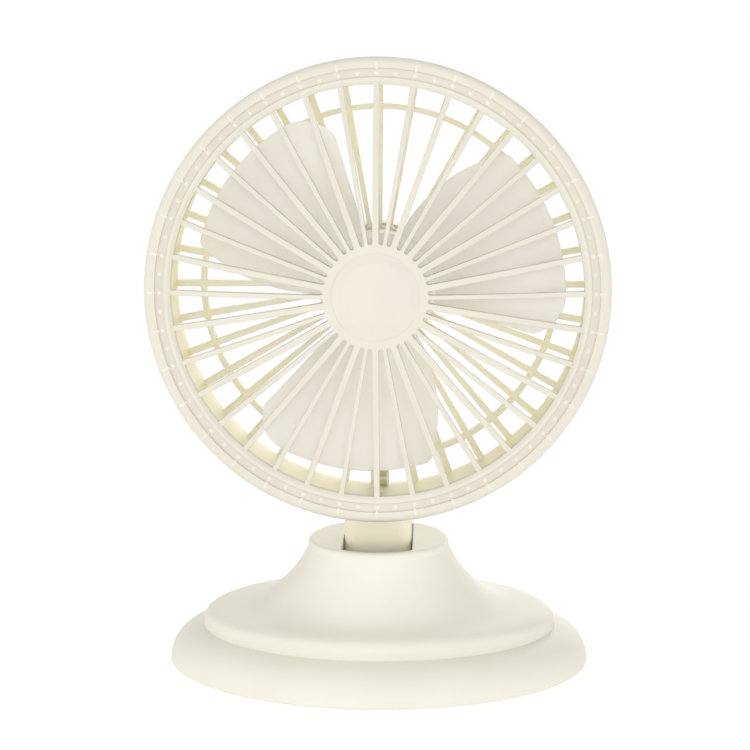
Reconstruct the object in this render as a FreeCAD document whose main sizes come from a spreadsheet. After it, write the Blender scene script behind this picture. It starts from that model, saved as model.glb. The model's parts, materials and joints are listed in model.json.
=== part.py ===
import FreeCAD
import Part
import Sketcher
import math
import os

# A desk fan: a ribbed round head on a short stem that tilts in the slot of an oval base.
# +Z is up, the fan blows towards -Y, and the origin is the middle of the base on the table.

sizes = {
    # head
    "headRadius": 75.0,
    "headHeight": 124.7,  # head axis above the table
    "ringForward": 14.0,  # front ring plane ahead of the base centre
    # front guard, measured from the ring plane along the head axis
    "rimBand": 8.7,  # width of the solid rim
    "lipBand": 3.7,
    "rimInner": "=headRadius - rimBand",
    "bandFront": 1.0,
    "bandLip": 0.6,
    "innerBand": 2.4,
    "stepRadius": "=headRadius - lipBand",
    "stepRise": 0.5,
    "rimRound": 2.4,
    "skirtDepth": 6.5,
    "skirtWall": 2.2,
    "plateBack": 1.4,
    "hubForward": 12.3,
    "hubThick": 3.1,
    "hubRadius": 16.0,
    "crownRadius": 270.0,
    "ribCount": 36,
    "wideRibOuter": 0.88,
    "wideRibInner": 1.02,
    "narrowRibOuter": 0.86,
    "narrowRibInner": 0.62,
    "slotInner": 17.0,
    # badge
    "badgeRing": 13.8,
    "badgeRecess": 1.2,
    "badgeRadius": 12.0,
    "badgeCrown": 0.5,
    # rear guard
    "guardSeat": 0.2,
    "wallFront": 1.6,
    "wallThick": 3.0,
    "wallStep": 1.8,
    "wallDraft": 1.4,
    "wallInnerFront": "=wallOuterFront - wallThick",
    "wallInnerRear": "=wallOuterRear - wallThick",
    "wallSpigot": "=headRadius - skirtWall - guardSeat",
    "wallOuterFront": "=headRadius - wallStep",
    "wallOuterRear": "=wallOuterFront - wallDraft",
    "wallRound": 2.5,
    "webFront": 28.0,
    "webThick": 3.5,
    "ringPlace": 8.4,  # ring to the wall
    "ringWidth": 1.8,
    "ringOuter": "=wallInnerRear - ringPlace",
    "ringInner": "=ringOuter - ringWidth",
    "rearRibOuter": 1.05,
    "rearRibInner": 0.72,
    "cupRadius": 20.0,
    "cupWall": 1.8,
    "cupFront": 24.5,
    "cupFloor": 28.2,
    "floorThick": 2.0,
    "floorHole": 5.3,
    "cupFlange": 0.3,
    "coverLip": 2.0,
    "coverLipWall": 1.4,
    "strutWidth": 6.0,
    "strutFront": 24.5,
    "channelWidth": 2.3,
    "channelSide": 1.2,
    "channelFloor": 2.2,
    "bridgeWidth": 1.2,
    "bridgeThick": 1.2,
    "leadHole": 1.6,
    "leadHoleBack": 17.0,
    "tabWidth": 16.0,
    "tabFront": 10.8,
    "tabBack": 14.6,
    "tabDrop": 7.0,
    # motor cover
    "coverRadius": 20.4,
    "coverWall": 1.8,
    "coverBack": 52.0,
    "coverRound": 4.0,
    "coverSink": 1.5,
    "coverBoss": 2.9,
    "postCircle": 16.0,
    "postRadius": 1.9,
    "postAngle": 45.0,
    "postGap": 0.1,
    # motor, along the same axis
    "canFront": 30.3,
    "canBack": 46.3,
    "canRadius": 13.9,
    "canWall": 1.0,
    "canBoss": 4.9,
    "canBossFront": 28.8,
    "capPlug": 2.0,
    "capThick": 1.3,
    "bushRadius": 3.0,
    "bushFit": 0.02,
    "frontBushFront": 28.6,
    "frontBushBack": 32.0,
    "rearBushFront": 44.5,
    "rearBushBack": 47.4,
    "magnetInner": 10.9,
    "magnetFront": 32.6,
    "magnetBack": 43.4,
    "magnetSweep": 130.0,
    "shaftRadius": 1.0,
    "shaftFit": 0.05,
    "pressFit": 0.03,
    "shaftFront": 8.7,
    "shaftBack": 47.2,
    "coreRadius": 10.5,
    "coreFront": 34.0,
    "coreBack": 40.0,
    "coreHub": 2.4,
    "coreRim": 2.0,
    "poleWidth": 3.0,
    "poleCount": 3,
    "poleSweep": 100.0,
    "windingThick": 1.3,
    "windingGap": 0.1,
    "hubFrontEnd": 32.6,
    "hubBackEnd": 41.8,
    "commutatorRadius": 2.6,
    "commutatorBack": 44.1,
    "thrustThick": 0.4,
    "thrustRadius": 2.2,
    "brushLength": 3.0,
    "brushWidth": 1.6,
    "brushGap": 0.3,
    "terminalLength": 2.0,
    "terminalWidth": 1.8,
    "terminalThick": 0.5,
    "terminalPlace": 9.0,
    "motorScrewPlace": 8.0,
    # blade set
    "bladeCount": 3,
    "bladeTurn": 20.0,  # the first blade's middle, from the horizontal
    "drumRadius": 18.9,
    "drumFront": 6.5,
    "drumBack": 22.5,
    "drumWall": 1.6,
    "drumRound": 3.0,
    "bossRadius": 4.0,
    "bossBack": 23.5,
    "tipGap": 8.0,
    "tipRadius": "=wallInnerRear - tipGap",
    "bladeRoot": 18.0,
    "bladeEdgeArc": 52.0,
    "tipCornerBack": 5.0,
    "tipCornerFront": 13.0,
    "rootSection": 12.0,
    "middleSection": 36.0,
    "tipOver": 2.2,
    "tipSection": "=tipRadius + tipOver",
    "rootSlope": 0.50,
    "middleSlope": 0.30,
    "tipSlope": 0.19,
    "rootDepth": 14.6,
    "middleDepth": 11.9,
    "tipDepth": 9.6,
    "rootHalf": 18.0,
    "middleHalf": 31.0,
    "tipHalf": 36.0,
    "rootArc": 75.0,
    "middleArc": 190.0,
    "tipArc": 320.0,
    "bladeThick": 1.6,
    # stem
    "stemWidth": 22.0,
    "stemDepth": 14.4,
    "stemRound": 4.0,
    "stemWall": 2.0,
    "stemFloorRise": 10.0,
    "stemFloor": "=tiltHeight + stemFloorRise",
    "stemTopGap": 0.15,
    "leadBore": 1.6,
    "leadBoreBack": 4.5,
    "stemBoss": 2.5,
    "upperScrewSide": 5.0,
    "upperScrewDrop": 3.9,  # below the wall of the guard
    "upperScrewHeight": "=headHeight - wallOuterFront - upperScrewDrop",
    "lowerScrewSide": 8.0,
    "lowerScrewRise": 6.6,
    "lowerScrewHeight": "=tiltHeight + lowerScrewRise",
    # tilt joint
    "tiltHeight": 24.0,
    "tiltBolt": 2.5,
    "tiltFit": 0.05,
    "washerRadius": 6.4,
    "washerThick": 1.0,
    "washerGap": 0.05,
    "cheekThick": 2.5,
    "cheekHalf": 11.0,
    "cheekFoot": 13.5,
    "boltHeadRadius": 4.0,
    "boltHeadHeight": 2.6,
    "springThick": 1.0,
    "nutHeight": 2.8,
    "boltOver": 0.8,
    # base
    "baseHalfWidth": 69.6,
    "baseHalfDepth": 51.9,
    "baseLift": 0.5,  # lower edge of the shell above the table
    "baseEdge": 0.6,
    "tierRound": 11.0,
    "tierTop": 12.2,
    "domeTop": 18.6,  # level part of the shoulder
    "neckWidth": 23.3,
    "neckDepth": 23.1,
    "neckTop": 41.4,
    "neckRound": 1.2,
    "baseWall": 2.2,
    "slotWidth": 23.0,
    "slotRim": 2.6,
    "panelInset": 6.0,  # flat panel at the back, in from the edge
    "panelPlace": "=baseHalfDepth - panelInset",
    "panelHalf": 17.0,
    "plateGap": 0.4,
    "plateLow": 1.2,
    "plateThick": 2.0,
    "footRadius": 5.0,
    "footSink": 0.5,
    "footInset": 25.6,
    "footSide": "=baseHalfWidth - footInset",
    "footBack": "=baseHalfDepth - footInset",
    "baseBoss": 3.6,
    "baseScrewSide": 40.0,
    "baseScrewBack": 19.0,
    "ballastHalfWidth": 34.0,
    "ballastInset": 19.0,
    "ballastGap": 4.5,
    "ballastFront": "=baseHalfDepth - ballastInset",
    "ballastBack": "=boardFront - ballastGap",
    "ballastThick": 5.0,
    "ballastRound": 6.0,
    "stakeSide": 26.0,
    "stakeRadius": 2.0,
    "stakeOver": 0.8,
    # switch and socket at the back of the base
    "boardWidth": 34.0,
    "boardDepth": 13.0,
    "boardFront": "=boardBack - boardDepth",
    "boardBack": "=panelPlace - baseWall - knobPlay",
    "boardLow": 4.4,
    "boardThick": 1.2,
    "boardScrewSide": 13.5,
    "boardScrewInset": 3.0,
    "boardScrewBack": "=boardFront + boardScrewInset",
    "socketSide": -6.0,
    "socketWidth": 8.9,
    "socketHeight": 3.2,
    "socketWall": 0.35,
    "socketLength": 8.1,
    "socketInset": 0.4,
    "socketFront": "=socketBack - socketLength",
    "socketBack": "=panelPlace - socketInset",
    "socketCorner": 1.45,
    "tongueWidth": 6.6,
    "tongueThick": 0.7,
    "switchSide": 7.0,
    "switchWidth": 9.6,
    "switchDepth": 5.0,
    "switchHeight": 3.2,
    "knobWidth": 3.0,
    "knobHeight": 1.8,
    "knobTravel": 3.0,
    "knobRise": 1.2,
    "knobBack": "=panelPlace + knobRise",
    "knobPlay": 0.3,

    "screwRadius": 1.2,
    "screwHole": 1.25,
    "screwHead": 2.3,
    "screwHeadHeight": 1.4,
    "motorScrew": 1.0,
    "coverScrewLength": 9.0,
    "baseScrewLength": 9.0,
}


def joined(first, sign, second, work):
    first = asSize(first)
    second = asSize(second)
    return Size(work(first.value, second.value), "(%s %s %s)" % (first.text, sign, second.text))


class Size:
    """A length or an angle: its value now, and the expression that ties it to the sheet."""

    def __init__(self, value, text):
        self.value = value
        self.text = text

    def __add__(self, other):
        return joined(self, "+", other, lambda a, b: a + b)

    def __radd__(self, other):
        return joined(other, "+", self, lambda a, b: a + b)

    def __sub__(self, other):
        return joined(self, "-", other, lambda a, b: a - b)

    def __rsub__(self, other):
        return joined(other, "-", self, lambda a, b: a - b)

    def __mul__(self, other):
        return joined(self, "*", other, lambda a, b: a * b)

    def __rmul__(self, other):
        return joined(other, "*", self, lambda a, b: a * b)

    def __truediv__(self, other):
        return joined(self, "/", other, lambda a, b: a / b)

    def __rtruediv__(self, other):
        return joined(other, "/", self, lambda a, b: a / b)

    def __pow__(self, other):
        return joined(self, "^", other, lambda a, b: a ** b)

    def __neg__(self):
        return joined(0, "-", self, lambda a, b: a - b)


def asSize(number):
    if isinstance(number, Size):
        return number
    return Size(float(number), repr(float(number)))


def sine(angle):
    return Size(math.sin(math.radians(angle.value)), "sin(%s)" % angle.text)


def cosine(angle):
    return Size(math.cos(math.radians(angle.value)), "cos(%s)" % angle.text)


def root(number):
    return Size(math.sqrt(number.value), "sqrt(%s)" % number.text)


def fromAxis(radius, angle):
    angle = asSize(angle)
    return radius * cosine(angle), radius * sine(angle)


def makeSheet(doc):
    sheet = doc.addObject("Spreadsheet::Sheet", "sizes")
    for row, name in enumerate(sizes, start=1):
        sheet.set("A%d" % row, name)
        sheet.setAlias("B%d" % row, name)
    for row, value in enumerate(sizes.values(), start=1):
        sheet.set("B%d" % row, str(value))
    doc.recompute()
    return sheet


class Sheet:
    """Gives each cell of the sheet as a Size, by its alias."""

    def __getattr__(self, name):
        return Size(float(doc.sizes.get(name)), "sizes." + name)


doc = FreeCAD.newDocument("desk_fan")
makeSheet(doc)
doc.recompute()
s = Sheet()
nodes = []
zero = asSize(0)


def vector(x, y, z):
    return FreeCAD.Vector(asSize(x).value, asSize(y).value, asSize(z).value)


def bind(thing, **values):
    for name, value in values.items():
        value = asSize(value)
        whole = isinstance(getattr(thing, name), int)
        setattr(thing, name, int(value.value) if whole else value.value)
        thing.setExpression(name, value.text)
    return thing


def place(thing, x=0, y=0, z=0, axis=None, angle=0):
    turn = FreeCAD.Rotation(axis or FreeCAD.Vector(0, 0, 1), asSize(angle).value)
    thing.Placement = FreeCAD.Placement(vector(x, y, z), turn)
    for name, value in (("x", x), ("y", y), ("z", z)):
        if isinstance(value, Size):
            thing.setExpression("Placement.Base." + name, value.text)
    if isinstance(angle, Size):
        thing.setExpression("Placement.Rotation.Angle", angle.text)
    return thing


def onHead(thing):
    """Local Z becomes the head axis, forwards; local Y stays up."""
    return place(thing, 0, -s.ringForward, s.headHeight, FreeCAD.Vector(1, 0, 0), 90)


def node(thing, name):
    thing.Label = name
    nodes.append(thing)
    return thing


# --- PartDesign helpers -------------------------------------------------------------------------


def newBody(name):
    return doc.addObject("PartDesign::Body", name)


def newSketch(body, plane, offset=None):
    sketch = body.newObject("Sketcher::SketchObject", body.Name + "Sketch")
    support = [item for item in body.Origin.OriginFeatures if item.Role == plane][0]
    sketch.AttachmentSupport = (support, [""])
    sketch.MapMode = "FlatFace"
    if offset is not None:
        sketch.AttachmentOffset.Base.z = offset.value
        sketch.setExpression("AttachmentOffset.Base.z", offset.text)
    return sketch


def arcBetween(start, end, radius):
    """Minor arc from start to end; its centre is on the left for a positive radius."""
    chord = end - start
    half = chord.Length / 2
    left = FreeCAD.Vector(-chord.y, chord.x, 0).normalize()
    reach = math.sqrt(max(radius ** 2 - half ** 2, 0)) * (1 if radius > 0 else -1)
    centre = (start + end) * 0.5 + left * reach
    angles = [math.atan2(p.y - centre.y, p.x - centre.x) for p in (start, end)]
    if radius < 0:
        angles.reverse()
    return Part.ArcOfCircle(Part.Circle(centre, FreeCAD.Vector(0, 0, 1), abs(radius)), *angles)


def chain(sketch, points):
    """Closed outline. A point is (x, y), or (x, y, radius) where an arc leads to it."""
    points = [tuple(asSize(number) for number in point) for point in points]
    first = sketch.GeometryCount
    count = len(points)
    ends = []
    for index, point in enumerate(points):
        following = points[(index + 1) % count]
        start = vector(point[0], point[1], 0)
        end = vector(following[0], following[1], 0)
        if len(following) == 3:
            sketch.addGeometry(arcBetween(start, end, following[2].value), False)
            ends.append((1, 2) if following[2].value > 0 else (2, 1))
        else:
            sketch.addGeometry(Part.LineSegment(start, end), False)
            ends.append((1, 2))
    for index, point in enumerate(points):
        after = (index + 1) % count
        this = first + index
        following = points[after]
        sketch.addConstraint(
            Sketcher.Constraint("Coincident", this, ends[index][1], first + after, ends[after][0]))
        for kind, value in (("DistanceX", point[0]), ("DistanceY", point[1])):
            mark = sketch.addConstraint(
                Sketcher.Constraint(kind, -1, 1, this, ends[index][0], value.value))
            sketch.setExpression("Constraints[%d]" % mark, value.text)
        if len(following) == 3:
            size = following[2] if following[2].value > 0 else -following[2]
            mark = sketch.addConstraint(Sketcher.Constraint("Radius", this, size.value))
            sketch.setExpression("Constraints[%d]" % mark, size.text)


def box2d(sketch, x0, x1, y0, y1):
    chain(sketch, [(x0, y0), (x1, y0), (x1, y1), (x0, y1)])


def rounded2d(sketch, x0, x1, y0, y1, corner):
    chain(sketch, [
        (x0 + corner, y0, corner),
        (x1 - corner, y0),
        (x1, y0 + corner, corner),
        (x1, y1 - corner),
        (x1 - corner, y1, corner),
        (x0 + corner, y1),
        (x0, y1 - corner, corner),
        (x0, y0 + corner),
    ])


def circle2d(sketch, x, y, radius):
    x, y, radius = asSize(x), asSize(y), asSize(radius)
    shape = Part.Circle(vector(x, y, 0), FreeCAD.Vector(0, 0, 1), radius.value)
    index = sketch.addGeometry(shape, False)
    for kind, value in (("DistanceX", x), ("DistanceY", y)):
        mark = sketch.addConstraint(Sketcher.Constraint(kind, -1, 1, index, 3, value.value))
        sketch.setExpression("Constraints[%d]" % mark, value.text)
    mark = sketch.addConstraint(Sketcher.Constraint("Radius", index, radius.value))
    sketch.setExpression("Constraints[%d]" % mark, radius.text)


def oval2d(sketch, width, depth):
    centre = FreeCAD.Vector(0, 0, 0)
    oval = Part.Ellipse(vector(width, 0, 0), vector(0, depth, 0), centre)
    index = sketch.addGeometry(oval, False)
    sketch.exposeInternalGeometry(index)
    sketch.addConstraint(Sketcher.Constraint("Coincident", index, 3, -1, 1))
    sketch.addConstraint(Sketcher.Constraint("Horizontal", index + 1))
    for line, size in ((index + 1, 2 * width), (index + 2, 2 * depth)):
        mark = sketch.addConstraint(Sketcher.Constraint("Distance", line, size.value))
        sketch.setExpression("Constraints[%d]" % mark, size.text)


def revolve(body, points):
    sketch = newSketch(body, "XZ_Plane")
    chain(sketch, points)
    feature = body.newObject("PartDesign::Revolution", body.Name + "Turned")
    feature.Profile = sketch
    feature.ReferenceAxis = (sketch, ["V_Axis"])
    feature.Angle = 360
    return feature


def pad(body, sketch, length, backwards=False):
    feature = body.newObject("PartDesign::Pad", body.Name + "Pad")
    feature.Profile = sketch
    feature.Reversed = backwards
    return bind(feature, Length=length)


def pocket(body, sketch, length=None, backwards=False):
    feature = body.newObject("PartDesign::Pocket", body.Name + "Pocket")
    feature.Profile = sketch
    feature.Reversed = backwards
    if length is None:
        feature.Type = "ThroughAll"
        return feature
    return bind(feature, Length=length)


def polar(body, features, sketch, count):
    pattern = body.newObject("PartDesign::PolarPattern", body.Name + "Pattern")
    pattern.Originals = features
    pattern.Axis = (sketch, ["N_Axis"])
    pattern.Angle = 360
    bind(pattern, Occurrences=count)
    body.Tip = pattern
    return pattern


# --- Part helpers -------------------------------------------------------------------------------


def cylinder(name, radius, height, x=0, y=0, z=0, axis=None, angle=0):
    thing = doc.addObject("Part::Cylinder", name)
    bind(thing, Radius=radius, Height=height)
    return place(thing, x, y, z, axis, angle)


def alongX(name, radius, start, end, y, z):
    return cylinder(name, radius, end - start, start, y, z, FreeCAD.Vector(0, 1, 0), 90)


def alongY(name, radius, start, end, x, z):
    return cylinder(name, radius, end - start, x, start, z, FreeCAD.Vector(1, 0, 0), -90)


def block(name, x0, x1, y0, y1, z0, z1):
    x0, x1, y0, y1, z0, z1 = [asSize(value) for value in (x0, x1, y0, y1, z0, z1)]
    thing = doc.addObject("Part::Box", name)
    bind(thing, Length=x1 - x0, Width=y1 - y0, Height=z1 - z0)
    return place(thing, x0, y0, z0)


def fuse(name, *things):
    thing = doc.addObject("Part::MultiFuse", name)
    thing.Shapes = list(things)
    return thing


def common(name, first, second):
    thing = doc.addObject("Part::Common", name)
    thing.Base = first
    thing.Tool = second
    return thing


def cut(name, first, *tools):
    thing = doc.addObject("Part::Cut", name)
    thing.Base = first
    thing.Tool = tools[0] if len(tools) == 1 else fuse(name + "Tools", *tools)
    return thing


def group(name, *things):
    thing = doc.addObject("Part::Compound", name)
    thing.Links = list(things)
    return thing


def ring(name, inner, outer, start, end):
    """A plain ring about local Z, from start to end."""
    body = newBody(name)
    revolve(body, [(inner, start), (outer, start), (outer, end), (inner, end)])
    return body


# --- front guard --------------------------------------------------------------------------------


def onRib(angle, along, side):
    """A point beside a rib's middle line. The rib points to angle, clockwise from the top."""
    reach = root(along * along - side * side)
    x = reach * sine(angle) + side * cosine(angle)
    y = reach * cosine(angle) - side * sine(angle)
    return x, y


def gapOutline(first, second, outer, inner, ends):
    """Gap between two ribs. Each rib is (angle, half width at outer, half width at inner)."""
    start = onRib(first[0], outer, first[1])
    across = onRib(second[0], outer, -second[1])
    low = onRib(second[0], inner, -second[2])
    back = onRib(first[0], inner, first[2])
    if ends == "round":
        gap = root((low[0] - back[0]) ** 2 + (low[1] - back[1]) ** 2)
        return [start, (*across, -outer), low, (*back, -0.52 * gap)]
    return [start, (*across, -outer), low, (*back, inner)]


def makeFrontGuard():
    body = newBody("front_guard_body")
    hubBack = s.hubForward - s.hubThick
    badgeFloor = s.hubForward - s.badgeRecess
    lipFront = s.bandFront + s.stepRise
    skirtInner = s.headRadius - s.skirtWall
    revolve(body, [
        (0, hubBack),
        (0, badgeFloor),
        (s.badgeRing, badgeFloor),
        (s.badgeRing, s.hubForward),
        (s.hubRadius, s.hubForward),
        (s.rimInner, s.bandFront, -s.crownRadius),
        (s.rimInner + s.innerBand * 0.4, s.bandFront + s.bandLip),
        (s.rimInner + s.innerBand * 0.9, s.bandFront + s.bandLip),
        (s.rimInner + s.innerBand, s.bandFront),
        (s.stepRadius, s.bandFront),
        (s.stepRadius, lipFront),
        (s.headRadius - s.rimRound, lipFront),
        (s.headRadius, lipFront - s.rimRound, -s.rimRound),
        (s.headRadius, -s.skirtDepth),
        (skirtInner, -s.skirtDepth),
        (skirtInner, -s.plateBack),
        (s.rimInner, -s.plateBack),
        (s.hubRadius, hubBack, s.crownRadius),
    ])
    pitch = 360 / s.ribCount
    wide = (zero, s.wideRibOuter, s.wideRibInner)
    narrow = (pitch, s.narrowRibOuter, s.narrowRibInner)
    nextWide = (2 * pitch, s.wideRibOuter, s.wideRibInner)
    gaps = newSketch(body, "XY_Plane", -s.skirtDepth)
    chain(gaps, gapOutline(wide, narrow, s.rimInner, s.slotInner, "round"))
    chain(gaps, gapOutline(narrow, nextWide, s.rimInner, s.slotInner, "round"))
    slots = pocket(body, gaps, backwards=True)
    polar(body, [slots], gaps, s.ribCount / 2)
    return node(onHead(body), "front_guard")


def makeBadge():
    body = newBody("hub_badge_body")
    floor = s.hubForward - s.badgeRecess
    edge = s.hubForward - s.badgeCrown / 2
    crown = (s.badgeRadius ** 2 + s.badgeCrown ** 2) / (2 * s.badgeCrown)
    revolve(body, [
        (0, floor),
        (s.badgeRadius, floor),
        (s.badgeRadius, edge),
        (0, edge + s.badgeCrown, crown),
    ])
    return node(onHead(body), "hub_badge")


# --- rear guard and motor housing ---------------------------------------------------------------


def makeRearGuard():
    body = newBody("rear_guard_body")
    webBack = s.webFront + s.webThick
    floorBack = s.cupFloor + s.floorThick
    cupInner = s.cupRadius - s.cupWall
    lipOuter = s.coverRadius - s.coverWall - s.guardSeat
    lipInner = lipOuter - s.coverLipWall
    shoulder = s.skirtDepth + 2 * s.guardSeat
    revolve(body, [
        (s.floorHole, -s.cupFloor),
        (cupInner, -s.cupFloor),
        (cupInner, -s.cupFront),
        (s.cupRadius, -s.cupFront),
        (s.cupRadius, -s.webFront),
        (s.wallInnerRear, -s.webFront),
        (s.wallInnerFront, -s.wallFront),
        (s.wallSpigot, -s.wallFront),
        (s.wallSpigot, -shoulder),
        (s.wallOuterFront, -shoulder),
        (s.wallOuterRear, s.wallRound - webBack),
        (s.wallOuterRear - s.wallRound, -webBack, -s.wallRound),
        (lipOuter, -webBack),
        (lipOuter, -webBack - s.coverLip),
        (lipInner, -webBack - s.coverLip),
        (lipInner, -floorBack),
        (s.floorHole, -floorBack),
    ])
    pitch = 360 / s.ribCount
    first = (zero, s.rearRibOuter, s.rearRibInner)
    second = (pitch, s.rearRibOuter, s.rearRibInner)
    windows = newSketch(body, "XY_Plane", -webBack - s.coverLip)
    chain(windows, gapOutline(first, second, s.ringInner, s.cupRadius + s.cupFlange, "round"))
    chain(windows, gapOutline((zero, s.rearRibOuter, s.rearRibOuter),
                              (pitch, s.rearRibOuter, s.rearRibOuter),
                              s.wallInnerRear, s.ringOuter, "concentric"))
    opened = pocket(body, windows, backwards=True)
    polar(body, [opened], windows, s.ribCount)
    doc.recompute()
    # the strut at the bottom carries the lead from the motor to the stem
    strut = newSketch(body, "XY_Plane", -webBack)
    wallEnd = s.wallInnerRear + (s.wallOuterRear - s.wallInnerRear) / 2
    box2d(strut, -s.strutWidth / 2, s.strutWidth / 2, -wallEnd, s.cupWall / 2 - s.cupRadius)
    pad(body, strut, webBack - s.strutFront)
    groove = newSketch(body, "XY_Plane", s.channelFloor - webBack)
    left = s.channelSide - s.channelWidth / 2
    box2d(groove, left, left + s.channelWidth, -s.wallInnerRear, -s.cupRadius)
    pocket(body, groove, webBack - s.strutFront, backwards=True)
    bridges = newSketch(body, "XY_Plane", -s.strutFront)
    for share in (0.2, 0.5, 0.94):
        middle = -s.cupRadius - share * (s.wallInnerRear - s.cupRadius)
        box2d(bridges, -s.strutWidth / 2, s.strutWidth / 2,
              middle - s.bridgeWidth / 2, middle + s.bridgeWidth / 2)
    pad(body, bridges, s.bridgeThick, backwards=True)
    # the tab goes down between the two halves of the stem
    tab = newSketch(body, "XY_Plane", -s.tabBack)
    tabLow = s.wallOuterFront + s.tabDrop
    box2d(tab, -s.tabWidth / 2, s.tabWidth / 2, -tabLow, -s.wallInnerFront - s.guardSeat)
    pad(body, tab, s.tabBack - s.tabFront)
    holes = newSketch(body, "XY_Plane", -s.tabBack)
    for side in (-1, 1):
        circle2d(holes, side * s.upperScrewSide, s.upperScrewHeight - s.headHeight, s.screwHole)
    pocket(body, holes, s.tabBack - s.tabFront, backwards=True)
    lead = newSketch(body, "XZ_Plane")
    circle2d(lead, 0, -s.leadHoleBack, s.leadHole)
    pocket(body, lead, s.headRadius, backwards=True)
    postEnd = s.coverSink + s.coverWall + s.postGap - s.coverBack
    posts = newSketch(body, "XY_Plane", postEnd)
    for turn in (0, 180):
        circle2d(posts, *fromAxis(s.postCircle, s.postAngle + turn), s.postRadius)
    pad(body, posts, -postEnd - s.cupFloor - s.floorThick / 2)
    bores = newSketch(body, "XY_Plane", postEnd)
    for turn in (0, 180):
        circle2d(bores, *fromAxis(s.postCircle, s.postAngle + turn), s.screwHole)
    pocket(body, bores, s.coverScrewLength, backwards=True)
    floor = newSketch(body, "XY_Plane", -floorBack)
    for side in (-1, 1):
        circle2d(floor, side * s.motorScrewPlace, 0, s.motorScrew + s.shaftFit)
    pocket(body, floor, s.floorThick, backwards=True)
    return node(onHead(body), "rear_guard")


def makeMotorCover():
    body = newBody("motor_cover_body")
    front = s.webFront + s.webThick
    inner = s.coverRadius - s.coverWall
    revolve(body, [
        (inner, -front),
        (s.coverRadius, -front),
        (s.coverRadius, s.coverRound - s.coverBack),
        (s.coverRadius - s.coverRound, -s.coverBack, -s.coverRound),
        (0, -s.coverBack),
        (0, s.coverWall - s.coverBack),
        (s.coverRadius - s.coverRound, s.coverWall - s.coverBack),
        (inner, s.coverRound - s.coverBack, s.coverRound - s.coverWall),
    ])
    floor = s.coverSink - s.coverBack
    bosses = newSketch(body, "XY_Plane", floor)
    sinks = newSketch(body, "XY_Plane", -s.coverBack)
    holes = newSketch(body, "XY_Plane", floor)
    for turn in (0, 180):
        x, y = fromAxis(s.postCircle, s.postAngle + turn)
        circle2d(bosses, x, y, s.coverBoss)
        circle2d(sinks, x, y, s.screwHead + 2 * s.shaftFit)
        circle2d(holes, x, y, s.screwHole)
    pad(body, bosses, s.coverWall)
    pocket(body, sinks, s.coverSink, backwards=True)
    pocket(body, holes, s.coverWall, backwards=True)
    return node(onHead(body), "motor_cover")


# --- motor --------------------------------------------------------------------------------------


def makeMotor():
    can = newBody("motor_can_body")
    canInner = s.canRadius - s.canWall
    revolve(can, [
        (s.bushRadius, -s.canBossFront),
        (s.canBoss, -s.canBossFront),
        (s.canBoss, -s.canFront),
        (s.canRadius, -s.canFront),
        (s.canRadius, -s.canBack),
        (canInner, -s.canBack),
        (canInner, -s.canFront - s.canWall),
        (s.bushRadius, -s.canFront - s.canWall),
    ])
    holes = newSketch(can, "XY_Plane", -s.canFront - s.canWall)
    for side in (-1, 1):
        circle2d(holes, side * s.motorScrewPlace, 0, s.motorScrew + s.shaftFit)
    pocket(can, holes, s.canWall, backwards=True)
    node(onHead(can), "motor_can")

    cap = newBody("motor_end_cap_body")
    plug = canInner - s.shaftFit
    revolve(cap, [
        (s.bushRadius, s.capPlug - s.canBack),
        (plug, s.capPlug - s.canBack),
        (plug, -s.canBack),
        (s.canRadius, -s.canBack),
        (s.canRadius, -s.canBack - s.capThick),
        (s.bushRadius, -s.canBack - s.capThick),
    ])
    node(onHead(cap), "motor_end_cap")

    bore = s.shaftRadius + s.shaftFit
    seat = s.bushRadius - s.bushFit
    node(onHead(ring("front_bush_body", bore, seat, -s.frontBushFront, -s.frontBushBack)),
         "front_bush")
    node(onHead(ring("rear_bush_body", bore, seat, -s.rearBushFront, -s.rearBushBack)),
         "rear_bush")

    magnets = []
    for index, turn in enumerate((90, 270)):
        outer = cylinder("magnet_outer_%d" % index, canInner - s.shaftFit,
                         s.magnetBack - s.magnetFront, z=-s.magnetBack)
        bind(outer, Angle=s.magnetSweep)
        inner = cylinder("magnet_inner_%d" % index, s.magnetInner,
                         s.magnetBack - s.magnetFront, z=-s.magnetBack)
        arc = cut("magnet_%d" % index, outer, inner)
        magnets.append(place(arc, axis=FreeCAD.Vector(0, 0, 1), angle=turn - s.magnetSweep / 2))
    node(onHead(group("motor_magnets_group", *magnets)), "motor_magnets")

    brushes = []
    for index, side in enumerate((-1, 1)):
        start = s.commutatorRadius + s.brushGap
        low = start if side > 0 else -start - s.brushLength
        brushes.append(block("brush_%d" % index, low, low + s.brushLength,
                             -s.brushWidth / 2, s.brushWidth / 2,
                             s.capPlug - s.canBack, s.capPlug - s.canBack + s.brushWidth))
    node(onHead(group("motor_brushes_group", *brushes)), "motor_brushes")

    terminals = []
    for index, side in enumerate((-1, 1)):
        middle = side * s.terminalPlace
        terminals.append(block("terminal_%d" % index, middle - s.terminalThick / 2,
                               middle + s.terminalThick / 2,
                               -s.terminalWidth / 2, s.terminalWidth / 2,
                               -s.canBack - s.capThick - s.terminalLength,
                               -s.canBack - s.capThick))
    node(onHead(group("motor_terminals_group", *terminals)), "motor_terminals")


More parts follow.
